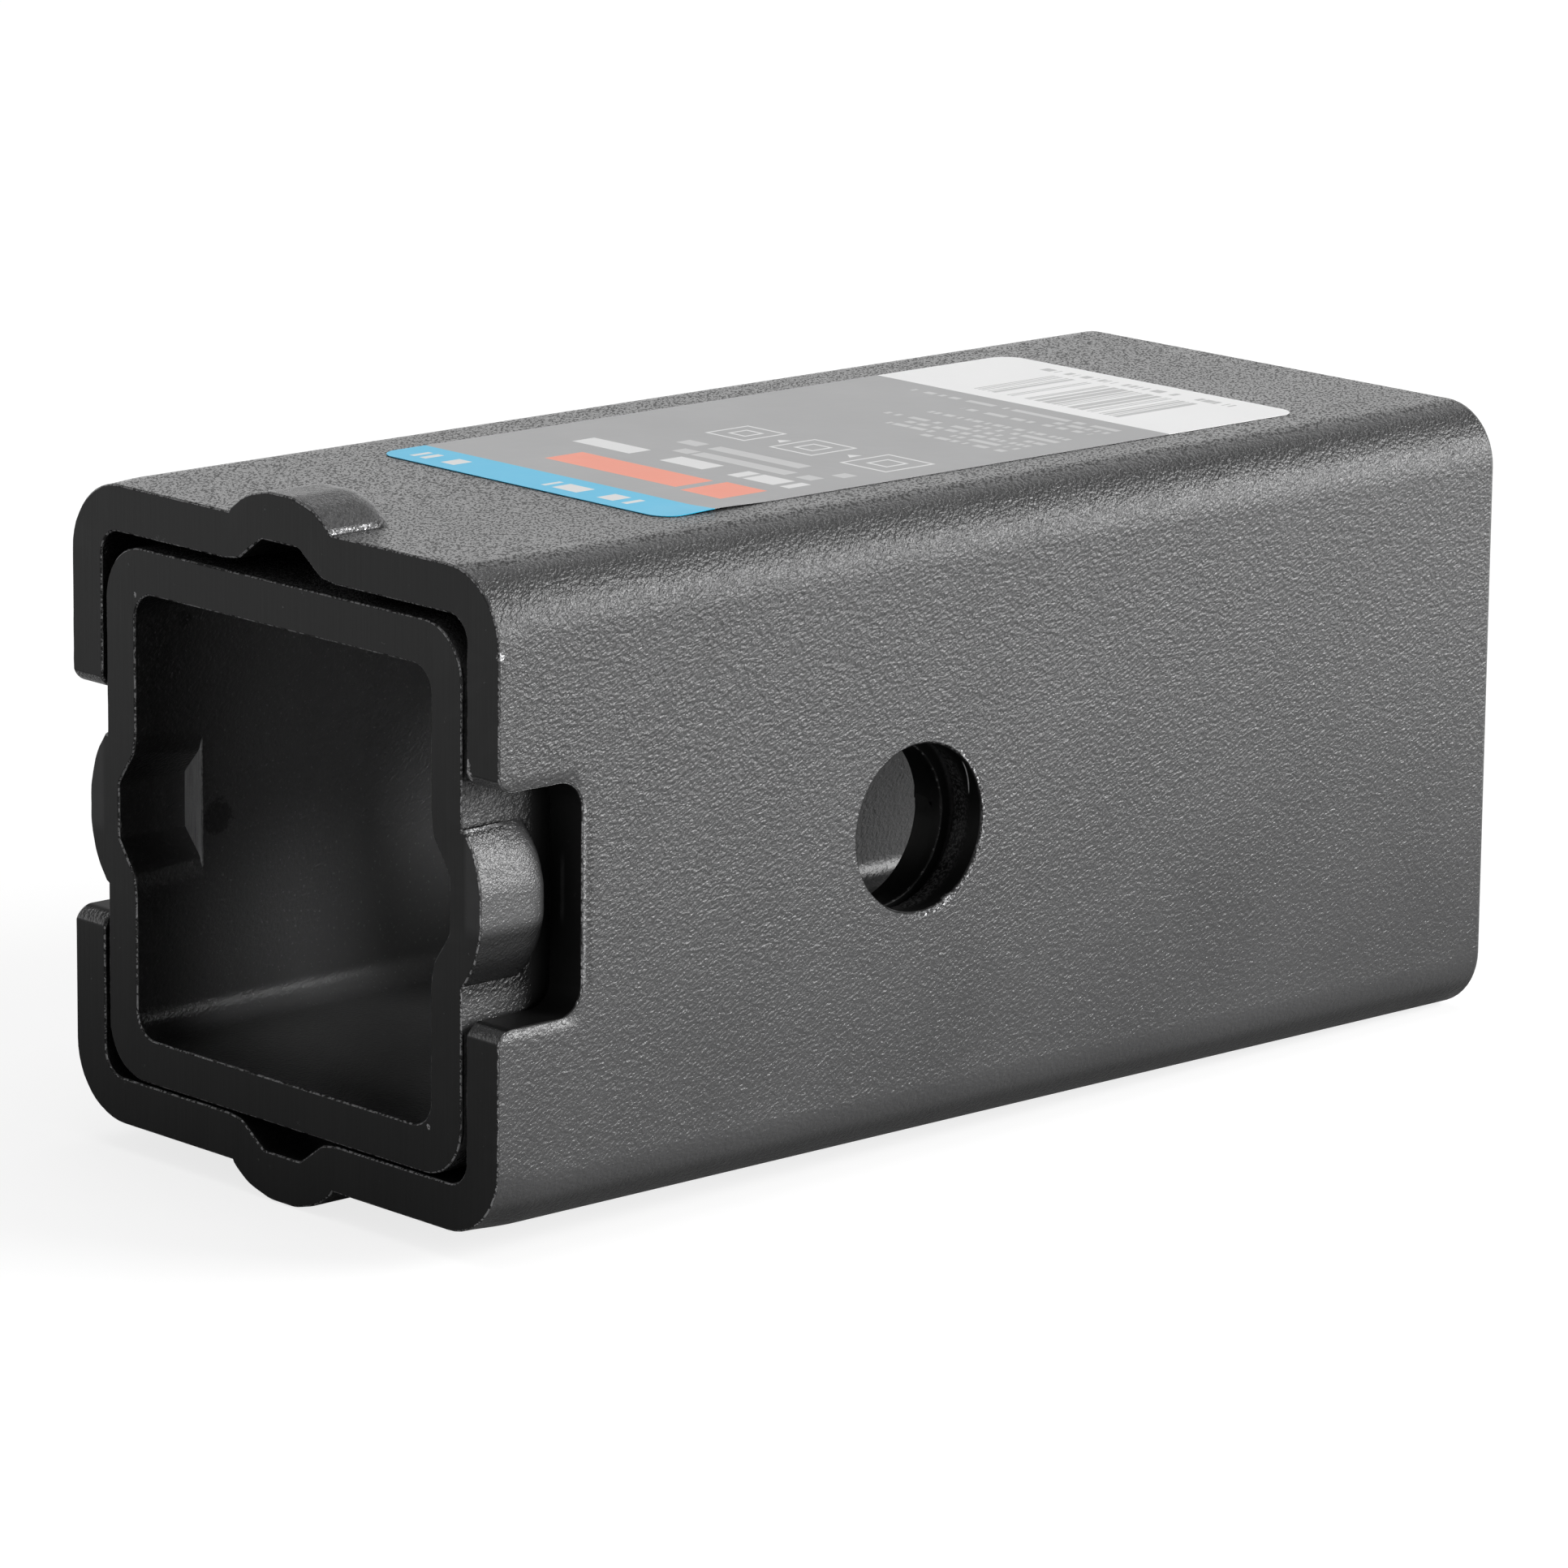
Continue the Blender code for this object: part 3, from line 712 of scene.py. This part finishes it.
def inner_marks(place, x, y, z, ragged):
    """The inner sleeve's hole and marks, in the order that powder_coat describes."""
    half = INNER_SECTION[0]
    run = y - MOUTH
    reach = abs(x) | abs(z)
    hole, ring = in_pin_hole(place, reach, half, INNER_HOLE_PLACE)
    # painted shade on a ring round the hole, where the outer sleeve covers it
    hole = hole | ring.step(PIN_HOLE_RADIUS + 0.0018, PIN_HOLE_RADIUS + 0.0010)
    skin_side = reach.step(half - 0.0003, half - 0.0001) * abs(z).step(0.0150, 0.0138)
    # painted shade on the side skin just behind the stops
    behind = skin_side * run.within(0.0096, 0.0130, 0.0012)
    # painted shade along the outside edge of the mouth, inside the outer sleeve
    rim = reach.step(half - 0.0004, half - 0.0002) * run.step(0.0006, 0.0003) * (1 - skin_side)

    from_crease_line = abs(z - CREASE_LINE_PLACE + ragged * 0.00003 - run * 0.02)
    # a bright line along the stop's upper crease, in bare steel colour
    bright = from_crease_line.step(0.00020, 0.00010) * run.step(0.0062, 0.0045) * skin_side
    bare = bright * 0.6 | spots(place, ragged, INNER_CHIPS)
    # painted shade: two dark lines either side of it, in the crease
    crease_line_shade = abs(from_crease_line - 0.00033).step(0.00021, 0.00012)
    crease_line_shade = crease_line_shade * run.step(0.0066, 0.0052) * skin_side
    # painted shade on the side skin under the stops
    shade_under_stop = skin_side * z.step(-0.0005, -0.0035) * z.step(-0.0112, -0.0098)
    shade_under_stop = shade_under_stop * run.within(-0.001, 0.0130, 0.001)
    dark_wear_and_shade = crease_line_shade * 0.9 | spots(place, ragged, INNER_SCUFFS) * 0.6 | shade_under_stop * 0.7

    # painted highlight along the cavity's lower corner on the left
    corner = (x * -1).step(0.0225, 0.0255) * z.within(-0.0262, -0.0240, 0.0010)
    corner = corner * run.within(0.010, 0.043, 0.006)
    # painted light on the stops' crests, above their undersides
    crest = reach.step(half + 0.0002, half + 0.0012)
    pale_marks_and_highlights = corner * 0.10 + crest * z.step(-0.0035, -0.0015) * 0.03
    return hole | behind | rim * 0.8, bare, dark_wear_and_shade, pale_marks_and_highlights, 0


inner = sleeve(
    "inner_sleeve_coated",
    "inner",
    "inner_sleeve",
    INNER_SECTION,
    stop_turns=(math.radians(90), math.radians(-90)),
    tightening=0,
    drop=INNER_DROP,
    hole_place=INNER_HOLE_PLACE,
    notched=False,
)
powder_coat(inner, "inner powder coat", INNER_SECTION, drop=INNER_DROP, gloss=0.20, marks=inner_marks)

# Label. A thin vinyl sticker with rounded corners, printed in fields of colour with plain lines and
# shapes, and stuck on the outer sleeve's top. It shows faint ripples, and lifts a little at one edge.
LABEL_MIDDLE = (0.0005, MOUTH + 0.08655)
LABEL_WIDTH = 0.0510
LABEL_LENGTH = 0.1031
LABEL_CORNER = 0.0030
LABEL_THICKNESS = 0.00007
LABEL_REST = OUTER_SECTION[0] + 0.00002
LABEL_RIPPLE = 0.00002
LIFT_PLACE = (0.0260, MOUTH + 0.0440)
LIFT_HEIGHT = 0.00022
LIFT_REACH = (0.004, 0.007)


def label_sheet():
    """The sticker: a rounded rectangle cut into a fine net, rippled, lifted at one edge, and thickened."""
    sheet = bmesh.new()
    corners = ((-1, -1), (1, -1), (1, 1), (-1, 1))
    verts = [sheet.verts.new((sx * LABEL_WIDTH / 2, sy * LABEL_LENGTH / 2, 0)) for sx, sy in corners]
    sheet.faces.new(verts)
    bmesh.ops.bevel(
        sheet, geom=verts, offset=LABEL_CORNER, affect="VERTICES", segments=10, profile=0.5, material=-1
    )
    bmesh.ops.translate(sheet, verts=sheet.verts, vec=(*LABEL_MIDDLE, LABEL_REST))
    for axis, count, size in ((0, 24, LABEL_WIDTH), (1, 48, LABEL_LENGTH)):
        for line in range(1, count):
            place = [0, 0, 0]
            place[axis] = LABEL_MIDDLE[axis] + (line / count - 0.5) * size
            way = [0, 0, 0]
            way[axis] = 1
            everything = sheet.verts[:] + sheet.edges[:] + sheet.faces[:]
            bmesh.ops.bisect_plane(sheet, geom=everything, dist=1e-7, plane_co=place, plane_no=way)
    for vert in sheet.verts:
        ripple = noise.noise(Vector((vert.co.x * 90, vert.co.y * 45, 3)))
        away = ((vert.co[axis] - LIFT_PLACE[axis]) / LIFT_REACH[axis] for axis in (0, 1))
        vert.co.z += LABEL_RIPPLE * (ripple + 1) + LIFT_HEIGHT * max(0, 1 - math.hypot(*away))
    bmesh.ops.recalc_face_normals(sheet, faces=sheet.faces)
    if sheet.faces[:][0].normal.z < 0:
        bmesh.ops.reverse_faces(sheet, faces=sheet.faces)
    grown = bmesh.ops.extrude_face_region(sheet, geom=sheet.faces[:])["geom"]
    raised = [item for item in grown if isinstance(item, bmesh.types.BMVert)]
    bmesh.ops.translate(sheet, verts=raised, vec=(0, 0, LABEL_THICKNESS))
    bmesh.ops.recalc_face_normals(sheet, faces=sheet.faces)
    return sheet


label_mesh = bpy.data.meshes.new("label_vinyl")
label_body = label_sheet()
label_body.to_mesh(label_mesh)
label_body.free()
label_mesh.shade_smooth()
label_mesh.set_sharp_from_angle(angle=math.radians(40))
vinyl = bpy.data.objects.new("label_vinyl", label_mesh)
bpy.context.scene.collection.objects.link(vinyl)
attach(vinyl, "outer")
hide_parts("label")

LABEL_GREY = (0.310, 0.310, 0.314, 1)
LABEL_WHITE = (0.88, 0.88, 0.88, 1)
LABEL_BLUE = (0.0, 0.50, 0.80, 1)
LABEL_ORANGE = (0.92, 0.24, 0.13, 1)
LABEL_INK = (0.30, 0.30, 0.30, 1)
BOLD_PRINT = (0.74, 0.74, 0.74, 1)
PALE_PRINT = (0.60, 0.60, 0.60, 1)
RUBBED = (0.9, 0.9, 0.9, 1)
PRINT_EDGE = 0.00006
BLUE_END = 0.0426
WHITE_START = 0.1157
ICON_LINE = 0.0004
ICON_ROW = 0.0770
ICONS = ((0.0180, 0.0040), (0.0052, 0.00375), (-0.0066, 0.0035))
ARROWS = (0.0118, -0.0004)
SMALL_LINES = (
    (0.0628, -0.0040),
    (0.0668, -0.0085),
    (0.0922, 0.0060),
    (0.0944, -0.0010),
    (0.0966, 0.0000),
    (0.0988, -0.0060),
    (0.1010, 0.0040),
    (0.1032, -0.0030),
    (0.1078, -0.0020),
    (0.1098, 0.0120),
    (0.1118, -0.0150),
)
BAR_WIDTH = 0.00034

place, shader = surface(vinyl, "printed vinyl")
across, along = place.axes()[:2]
along = along - MOUTH


def panel(left, right, near, far):
    """A printed rectangle, as a mask."""
    return across.within(left, right, PRINT_EDGE) * along.within(near, far, PRINT_EDGE)


def words(left, right, near, far, length, share):
    """A line of plain dashes, standing for print, each about this long."""
    sockets = {"Vector": place.stretched(1, 0, 0), "W": near * 5000, "Scale": 1 / length, "Detail": 0.0}
    gaps = place.node("ShaderNodeTexNoise", {"noise_dimensions": "4D"}, sockets)
    return panel(left, right, near, far) * gaps.step(0.56 - share * 0.2, 0.58 - share * 0.2)


def frame_of(middle, half):
    """The outline of a square in the row of icons, as a mask."""
    apart = abs(across - middle) | abs(along - ICON_ROW)
    return apart.within(half - ICON_LINE, half, PRINT_EDGE)


blue_band = along.step(BLUE_END + PRINT_EDGE, BLUE_END - PRINT_EDGE)
white_field = along.step(WHITE_START - PRINT_EDGE, WHITE_START + PRINT_EDGE)
colour = blue_band.mix(LABEL_GREY, LABEL_BLUE)
colour = white_field.mix(colour, LABEL_WHITE)

orange = panel(-0.0100, 0.0130, 0.0482, 0.0541) | panel(0.0146, 0.0215, 0.0475, 0.0548)
colour = orange.mix(colour, LABEL_ORANGE)

bold = words(-0.0160, 0.0220, 0.0577, 0.0612, 0.0042, 0.55)
bold = bold | words(-0.0215, -0.0135, 0.0372, 0.0401, 0.0022, 0.4)
bold = bold | words(0.0020, 0.0170, 0.0372, 0.0401, 0.0026, 0.5)
icons = 0
for middle, half in ICONS:
    icons = frame_of(middle, half) | frame_of(middle, half * 0.45) | icons
for middle in ARROWS:
    lean = abs(along - ICON_ROW) + (across - middle) * -0.7
    arrow = lean.step(0.0005, 0.0004) * across.within(middle - 0.0006, middle + 0.0008, PRINT_EDGE)
    icons = icons | arrow
colour = (bold | icons).mix(colour, BOLD_PRINT)

small = 0
for near, left in SMALL_LINES:
    tall, dash = (0.0022, 0.0024) if near < 0.07 else (0.0011, 0.0012)
    small = words(left, 0.0215, near, near + tall, dash, 0.5) | small
colour = (small * 0.75).mix(colour, PALE_PRINT)

bar_cell = across.maths("SNAP", BAR_WIDTH)
bars = place.node("ShaderNodeTexWhiteNoise", {"noise_dimensions": "1D"}, {"W": bar_cell * 9100})
bars = bars.step(0.46, 0.50) * panel(-0.0118, 0.0144, 0.1187, 0.1325)
below_bars = words(-0.0150, 0.0180, 0.1340, 0.1355, 0.0011, 0.35)
colour = ((bars | below_bars) * 0.72).mix(colour, LABEL_INK)

scuff = place.noise(0.0120, detail=3.0, roughness=0.6)
handled = place.noise(0.0007, detail=2.0)
colour = (scuff.step(0.35, 0.75) * 0.03).mix(colour, RUBBED)
rough = 0.33 + (scuff - 0.5) * 0.12
grain = scuff * 0.6 + handled * 0.06
bump = place.node("ShaderNodeBump", sockets={"Height": grain, "Distance": 0.00014})
feed(shader, Base_Color=colour, Roughness=rough, Normal=bump, Specular_IOR_Level=0.4)

# Studio. A white floor, tilted with the sleeve's own rest on its bottom stop and rear edge, soft lamps,
# a white surround that shows in the coat's gloss, and the camera.
FRONT_REST = Vector((0, -0.0732, -0.0414))
REAR_REST = Vector((0, 0.0792, -0.0381))
FLOOR_SIZE = 6.0
FLOOR_BOUNCE = 0.5
FLOOR_SHADE = 0.34
FLOOR_GLOW = 0.78
FLOOR_GLOW_IN_GLOSS = 0.97
FLOOR_NEAR = 0.26
SHADOW_HALF_WIDTH = 0.038
SHADOW_HALF_LENGTH = 0.08


def seen_directly(tree):
    """1 for what the camera, a reflection or a clear view sees, and 0 for plain scattered light."""
    path = tree.nodes.new("ShaderNodeLightPath").outputs
    kinds = ("Is Camera Ray", "Is Glossy Ray", "Is Transmission Ray")
    camera, glossy, clear = (Socket(path[kind]) for kind in kinds)
    return camera | glossy | clear


floor_mesh = bpy.data.meshes.new("floor")
floor_shape = bmesh.new()
bmesh.ops.create_grid(floor_shape, x_segments=2, y_segments=2, size=FLOOR_SIZE / 2)
lie = math.atan2(REAR_REST.z - FRONT_REST.z, REAR_REST.y - FRONT_REST.y)
floor_shape.transform(Matrix.Translation(FRONT_REST) @ Matrix.Rotation(lie, 4, "X"))
floor_shape.to_mesh(floor_mesh)
floor_shape.free()
floor = bpy.data.objects.new("floor", floor_mesh)
bpy.context.scene.collection.objects.link(floor)
place, shader = surface(floor, "white floor")
bounce = (FLOOR_BOUNCE, FLOOR_BOUNCE, FLOOR_BOUNCE, 1)
feed(shader, Base_Color=bounce, Roughness=1.0, Specular_IOR_Level=0)
gloss = Socket(place.tree.nodes.new("ShaderNodeLightPath").outputs["Is Glossy Ray"])
across, along = place.axes()[:2]
# painted shadow: the floor as the coat's gloss sees it is dark around the sleeve, and brightens over
# FLOOR_NEAR
away = (abs(across) - SHADOW_HALF_WIDTH) | (abs(along) - SHADOW_HALF_LENGTH)
mirrored = FLOOR_GLOW_IN_GLOSS * away.step(0.0, FLOOR_NEAR)
glow = FLOOR_GLOW + gloss * (mirrored - FLOOR_GLOW)
white = place.node("ShaderNodeEmission", sockets={"Strength": glow})
paper = place.node("ShaderNodeBsdfDiffuse", sockets={"Color": (FLOOR_SHADE, FLOOR_SHADE, FLOOR_SHADE, 1)})
bright = place.node("ShaderNodeAddShader", sockets={0: white, 1: paper})
lit = Socket(shader.outputs["BSDF"])
shown = place.node("ShaderNodeMixShader", sockets={0: seen_directly(place.tree), 1: lit, 2: bright})
place.tree.links.new(shown.output, place.tree.nodes["Material Output"].inputs["Surface"])

camera_data = bpy.data.cameras.new("camera")
camera = bpy.data.objects.new("camera", camera_data)
bpy.context.scene.collection.objects.link(camera)
bpy.context.scene.camera = camera
CAMERA_PLACE = Vector((0.70028, -0.64783, 0.21806))
CAMERA_YAW = math.radians(47.561)
CAMERA_PITCH = math.radians(13.233)
CAMERA_ROLL = math.radians(0.546)
PICTURE = 1932
FOCAL_PIXELS = 10051.3
AXIS_PIXEL = (927.93, 987.81)
camera_data.sensor_width = 36
camera_data.sensor_fit = "HORIZONTAL"
camera_data.lens = FOCAL_PIXELS / PICTURE * camera_data.sensor_width
camera_data.shift_x = (PICTURE / 2 - AXIS_PIXEL[0]) / PICTURE
camera_data.shift_y = (AXIS_PIXEL[1] - PICTURE / 2) / PICTURE
camera_data.clip_start = 0.05
camera_data.clip_end = 20
turn = Matrix.Rotation(CAMERA_YAW, 4, "Z") @ Matrix.Rotation(math.pi / 2 - CAMERA_PITCH, 4, "X")
camera.matrix_world = Matrix.Translation(CAMERA_PLACE) @ turn @ Matrix.Rotation(CAMERA_ROLL, 4, "Z")

# Softboxes, as bearing and height in degrees seen from the sleeve (0 is behind it and 90 to its right),
# distance, width, height, and brightness, where a white card right in front of one would be 1.
AMBIENT = 0.25
CEILING = 0.06
CEILING_EDGE = (0.62, 0.37)
LAMPS = (
    (46, 22.5, 2.8, 1.54, 1.45, 12.6),
    (80, 7, 2.8, 0.8, 0.8, 9.0),
    (0, 90, 1.6, 1.4, 1.4, 1.1),
)
for bearing, height, distance, width, tall, brightness in LAMPS:
    softbox = bpy.data.lights.new("softbox", "AREA")
    softbox.shape = "RECTANGLE"
    softbox.size = width
    softbox.size_y = tall
    softbox.energy = math.pi * width * tall * brightness
    lamp = bpy.data.objects.new("softbox", softbox)
    bpy.context.scene.collection.objects.link(lamp)
    bear = Matrix.Rotation(math.radians(180 - bearing), 4, "Z")
    lean = Matrix.Rotation(math.radians(90 - height), 4, "X")
    lamp.matrix_world = bear @ lean @ Matrix.Translation((0, 0, distance))

world = bpy.data.worlds.new("studio")
bpy.context.scene.world = world
world.use_nodes = True
ambient = world.node_tree.nodes["Background"]
ambient.inputs["Color"].default_value = (1, 1, 1, 1)
ambient.inputs["Strength"].default_value = AMBIENT
seen = seen_directly(world.node_tree)
aim = Socket(world.node_tree.nodes.new("ShaderNodeTexCoord").outputs["Generated"])
dome = CEILING + aim.axes()[2].step(*CEILING_EDGE) * (1 - CEILING)
gloss = Socket(world.node_tree.nodes.new("ShaderNodeLightPath").outputs["Is Glossy Ray"])
white = 1 - gloss * (1 - dome)
surround = seen.node("ShaderNodeBackground", sockets={"Color": (1, 1, 1, 1), "Strength": white})
lit = Socket(ambient.outputs["Background"])
shown = seen.node("ShaderNodeMixShader", sockets={0: seen, 1: lit, 2: surround})
world.node_tree.links.new(shown.output, world.node_tree.nodes["World Output"].inputs["Surface"])

bpy.context.scene.view_settings.view_transform = "Standard"
